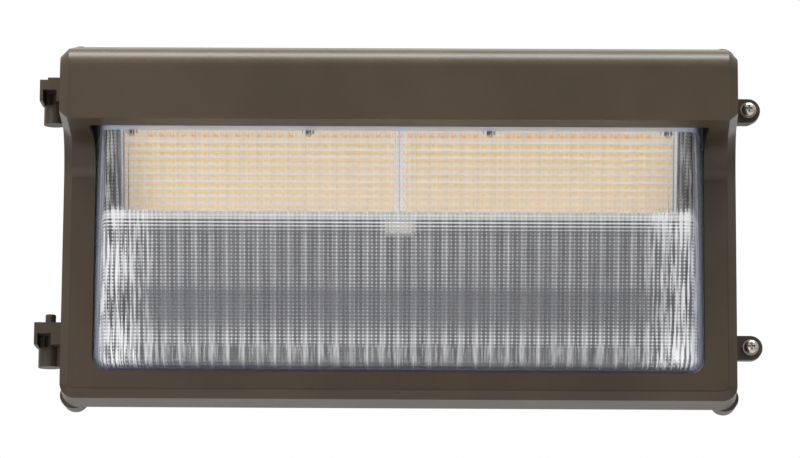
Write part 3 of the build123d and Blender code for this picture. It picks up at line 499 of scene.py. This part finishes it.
for position, start, end, share in (
    (reach, WALL_START, WALL_END, 0.32),
    (split.outputs["Z"], FOOT_START, FOOT_END, 0.2),
    (split.outputs["Z"], BROW_START, BROW_END, 0.62),
):
    band = add_node(tree, "MapRange", {
        "Value": position, "From Min": start * MM, "From Max": end * MM, "To Max": share,
    })
    reflection_share = add_node(
        tree, "Math", {0: band.outputs["Result"], 1: reflection_share}, operation="MAXIMUM",
    ).outputs[0]
# The painted reflection on the walls, foot and brow: a pale bluish grey.
painted_reflection = add_node(tree, "BsdfPrincipled", {"Base Color": linear("9a9eb0"), "Roughness": 0.4})
seen = add_node(tree, "MixShader", {
    0: reflection_share, 1: clear.outputs["Shader"], 2: painted_reflection.outputs["BSDF"],
})
shadow_ray = add_node(tree, "LightPath").outputs["Is Shadow Ray"]
surface = add_node(tree, "MixShader", {
    0: shadow_ray, 1: seen.outputs["Shader"], 2: through.outputs["BSDF"],
})
add_node(tree, "OutputMaterial", {"Surface": surface.outputs["Shader"]})


def ridges(tree, position, pitch, sharpness):
    """Even ridges: half of one plus the cosine of the way along the pitch, to a power."""
    value = position
    for operation, numbers in (
        ("MULTIPLY", {1: 2 * pi / (pitch * MM)}), ("COSINE", {}),
        ("MULTIPLY_ADD", {1: 0.5, 2: 0.5}), ("POWER", {1: sharpness}),
    ):
        value = add_node(tree, "Math", {0: value, **numbers}, operation=operation).outputs[0]
    return value


def upright_noise(tree, place, width, height, detail, low, high):
    """Noise in upright strokes of a width and a height in millimetres, alike at every depth,
    and stretched so that its values from low to high run from none to full."""
    strokes = add_node(tree, "Mapping", {
        "Vector": place, "Scale": (1 / (width * MM), 0, 1 / (height * MM)),
    })
    noise = add_node(tree, "TexNoise", {
        "Vector": strokes.outputs["Vector"], "Scale": 1, "Detail": detail,
    })
    return add_node(tree, "MapRange", {
        "Value": noise.outputs["Fac"], "From Min": low, "From Max": high,
    }).outputs["Result"]


def weighted(tree, *products):
    """A sum of products: each is a weight times all the patterns that stand with it."""
    total = 0.0
    for weight, *patterns in products:
        product = weight
        for pattern in patterns:
            product = add_node(
                tree, "Math", {0: pattern, 1: product}, operation="MULTIPLY",
            ).outputs[0]
        total = add_node(tree, "Math", {0: product, 1: total}, operation="ADD").outputs[0]
    return total


# Polycarbonate with moulded prisms on its inner side. Part of what lies behind shows clear and
# part of it smeared by the flutes. Over it lie painted highlights, a white lit material in fine
# lines where the prisms' flanks would catch light. There are upright ones on each flute, a
# stronger one on every third or fourth, and level ones on the ridges. The real ridges are
# finer, and are drawn 2.25 mm apart, so that they show.
RIDGE, COARSE = 2.25, 10.3
prisms, tree, place = start_material("prisms_with_painted_highlights")
split = add_node(tree, "SeparateXYZ", {"Vector": place})
across, height = split.outputs["X"], split.outputs["Z"]
flute_lines = ridges(tree, across, FLUTE, 3.5)
ridge_lines = ridges(tree, height, RIDGE, 2.0)
coarse_lines = ridges(tree, across, COARSE, 2.6)
dots = weighted(tree, (0.85, flute_lines, ridge_lines), (0.15, flute_lines))
streaks = upright_noise(
    tree, place, width=2.941, height=45.45, detail=3, low=0.46, high=0.72,
)
fine_streaks = upright_noise(
    tree, place, width=1.613, height=25.0, detail=2, low=0.47, high=0.6,
)
patches = upright_noise(
    tree, place, width=35.71, height=50.0, detail=2, low=0.35, high=0.65,
)

# Bands of painted highlight at set places, in millimetres: each runs from none at its first
# place to full at its second. The side bands step outwards where the boards lie behind.
STEP_START, STEP_END, STEP = -4.0, 0.0, 20.0             # heights, and how far outwards
reach = add_node(tree, "Math", {0: across}, operation="ABSOLUTE").outputs[0]
before_boards = add_node(tree, "MapRange", {
    "Value": height, "From Min": STEP_START * MM, "From Max": STEP_END * MM,
    "To Max": STEP * MM,
})
side_start = add_node(tree, "Math", {
    0: reach, 1: before_boards.outputs["Result"],
}, operation="SUBTRACT").outputs[0]
side, slant, near_fold, past_fold, band_foot, band_head = [
    add_node(tree, "MapRange", {
        "Value": position, "From Min": start * MM, "From Max": end * MM,
    }).outputs["Result"]
    for position, start, end in (
        (side_start, 156, 187), (height, -87, -92), (height, -18, -12), (height, -9, -10),
        (height, -9.8, -8.8), (height, -3, -6.5),
    )
]

# How strong the painted highlight is at each height, in millimetres, from the foot to the top
# of the front.
LOW, HIGH = -110.0, 60.0
STOPS = (
    (-107, 0.10), (-104, 0.18), (-98, 0.36), (-94, 0.44), (-85, 0.48), (-80, 0.32), (-72, 0.17),
    (-56, 0.13), (-50, 0.27), (-20, 0.27), (-17, 0.20), (-10, 0.20), (-9, 0.12), (-5, 0.12),
    (-2, 0.07), (46, 0.07),
)
level = add_node(tree, "MapRange", {
    "Value": height, "From Min": LOW * MM, "From Max": HIGH * MM,
})
highlight_by_height = add_node(tree, "ValToRGB", {"Fac": level.outputs["Result"]})
ramp = highlight_by_height.color_ramp.elements
for _ in STOPS[2:]:
    ramp.new(0.5)
for stop, (where, _) in zip(ramp, STOPS):
    stop.position = (where - LOW) / (HIGH - LOW)
for stop, (_, value) in zip(ramp, STOPS):
    stop.color = (value, value, value, 1)

# The painted highlights: the grid of dots and lines gives way to streaks at the foot. More
# highlight is painted near both sides, where the prisms stand at more of a slant, and in a band
# along the boards' fold.
patchy = weighted(tree, (0.65, patches), (0.35,))
grid = weighted(tree, (1.7, dots, patchy), (0.55, ridge_lines), (0.35, flute_lines))
lines = weighted(
    tree, (1.0, grid), (-0.85, grid, slant), (0.75, coarse_lines), (0.35, streaks),
    (0.7, slant, fine_streaks),
)
white = weighted(
    tree, (1.0, highlight_by_height.outputs["Color"], lines),
    (0.75, side, fine_streaks), (0.6, side, dots),
    (0.75, near_fold, past_fold, ridge_lines),
    (0.5, band_foot, band_head), (0.12, band_foot, band_head, ridge_lines),
    (0.3, band_foot, band_head, dots),
)
highlight_mask = add_node(tree, "Math", {0: white, 1: 0.0}, operation="ADD", use_clamp=True)

bump = add_node(tree, "Bump", {
    "Height": ridges(tree, height, RIDGE, 1.0), "Strength": 0.3, "Distance": 0.05 * MM,
})
clear = add_node(tree, "BsdfTransparent", {"Color": linear("fdfdfd")})
bent = add_node(tree, "BsdfRefraction", {
    "Color": linear("fbfbfc"), "IOR": 1.32, "Roughness": 0.0, "Normal": bump.outputs["Normal"],
})
behind = add_node(tree, "MixShader", {
    0: 0.62, 1: clear.outputs["BSDF"], 2: bent.outputs["BSDF"],
})
# The painted highlights: a white lit material wherever the mask is high.
painted_highlights = add_node(tree, "BsdfPrincipled", {"Base Color": linear("f2f2f3"), "Roughness": 0.35})
seen = add_node(tree, "MixShader", {
    0: highlight_mask.outputs[0], 1: behind.outputs["Shader"], 2: painted_highlights.outputs["BSDF"],
})
shadow_ray = add_node(tree, "LightPath").outputs["Is Shadow Ray"]
surface = add_node(tree, "MixShader", {
    0: shadow_ray, 1: seen.outputs["Shader"], 2: clear.outputs["BSDF"],
})
add_node(tree, "OutputMaterial", {"Surface": surface.outputs["Shader"]})

lens = new_mesh("ribbed_lens", points, faces, [skin, prisms], smooth=True, indices=ribbed)
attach(lens, "door")
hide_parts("lens")

# ---- studio --------------------------------------------------------------------------
# A pale floor under a hanging light, soft lamps above, before and to the left of it, and the
# camera where the photograph was taken from: a little below the light and close to its middle.
FLOOR_HALF, FLOOR_LEVEL = 6600, -700
FADE_START, FADE_END = 5200, 6600
AMBIENT = 0.35
AIM = Vector((0, -0.1, 0))


def seen_directly(tree):
    """One for camera, glossy and transmission rays, and none for all others."""
    rays = add_node(tree, "LightPath")
    seen = 0.0
    for kind in ("Is Camera Ray", "Is Glossy Ray", "Is Transmission Ray"):
        seen = add_node(tree, "Math", {0: rays.outputs[kind], 1: seen}, operation="MAXIMUM")
        seen = seen.outputs[0]
    return seen


# Matt paper, which runs out into the same white as the world.
paper, tree, place = start_material("pale_floor")
away = add_node(tree, "VectorMath", {0: place}, operation="LENGTH")
far = add_node(tree, "MapRange", {
    "Value": away.outputs["Value"], "From Min": FADE_START * MM, "From Max": FADE_END * MM,
}, interpolation_type="SMOOTHSTEP")
far = add_node(tree, "Math", {
    0: far.outputs["Result"], 1: seen_directly(tree),
}, operation="MULTIPLY")
near_paper = add_node(tree, "BsdfDiffuse", {"Color": linear("e6e6e4")})
far_white = add_node(tree, "Emission", {"Color": (1, 1, 1, 1), "Strength": 1.0})
surface = add_node(tree, "MixShader", {
    0: far.outputs[0], 1: near_paper.outputs["BSDF"], 2: far_white.outputs["Emission"],
})
add_node(tree, "OutputMaterial", {"Surface": surface.outputs["Shader"]})
corners = np.array([(-1, -1, 0), (1, -1, 0), (1, 1, 0), (-1, 1, 0)]) * FLOOR_HALF
floor = new_mesh("floor", corners + [0, 0, FLOOR_LEVEL], [(0, 1, 2, 3)], [paper])

world = bpy.data.worlds.new("studio")
bpy.context.scene.world = world
world.use_nodes = True
tree = world.node_tree
tree.nodes.clear()
strength = add_node(tree, "MapRange", {
    "Value": seen_directly(tree), "To Min": AMBIENT, "To Max": 1.0,
})
sky = add_node(tree, "Background", {
    "Color": (1, 1, 1, 1), "Strength": strength.outputs["Result"],
})
add_node(tree, "OutputWorld", {"Surface": sky.outputs["Background"]})

for name, position, size, power in (
    ("top_lamp", (0, -0.42, 1.46), (2.2, 0.6), 92),
    ("front_lamp", (-0.62, -3.0, -0.55), (2.4, 0.29), 22),
    ("left_lamp", (-1.5, -1.5, 0.9), (0.8, 1.2), 18),
):
    lamp = bpy.data.lights.new(name, "AREA")
    lamp.shape = "RECTANGLE"
    lamp.size, lamp.size_y = size
    lamp.energy = power
    holder = bpy.data.objects.new(name, lamp)
    holder.location = position
    holder.rotation_euler = (AIM - Vector(position)).to_track_quat("-Z", "Y").to_euler()
    holder.visible_camera = False
    bpy.context.scene.collection.objects.link(holder)

PITCH, YAW, ROLL = radians(10.0), radians(0.72), radians(0.38)
TARGET, DISTANCE = Vector((0, -0.062, 0)), 2.5
PIXEL, PHOTO_WIDTH, SENSOR = 0.68 * MM, 800, 36          # one pixel's size at the target
SHIFT_X, SHIFT_Y = 0.1, -2.4                             # in pixels
look = Vector((-sin(YAW) * cos(PITCH), cos(YAW) * cos(PITCH), sin(PITCH)))
right = Vector((cos(YAW), sin(YAW), 0))
up = right.cross(look)
camera_data = bpy.data.cameras.new("camera")
camera_data.sensor_width = SENSOR
camera_data.lens = DISTANCE / PIXEL / PHOTO_WIDTH * SENSOR
camera_data.shift_x, camera_data.shift_y = SHIFT_X / PHOTO_WIDTH, SHIFT_Y / PHOTO_WIDTH
camera = bpy.data.objects.new("camera", camera_data)
turned = Matrix((
    right * cos(ROLL) + up * sin(ROLL), up * cos(ROLL) - right * sin(ROLL), -look,
)).transposed().to_4x4()
camera.matrix_world = Matrix.Translation(TARGET - look * DISTANCE) @ turned
bpy.context.scene.collection.objects.link(camera)
bpy.context.scene.camera = camera
bpy.context.scene.view_settings.view_transform = "Standard"
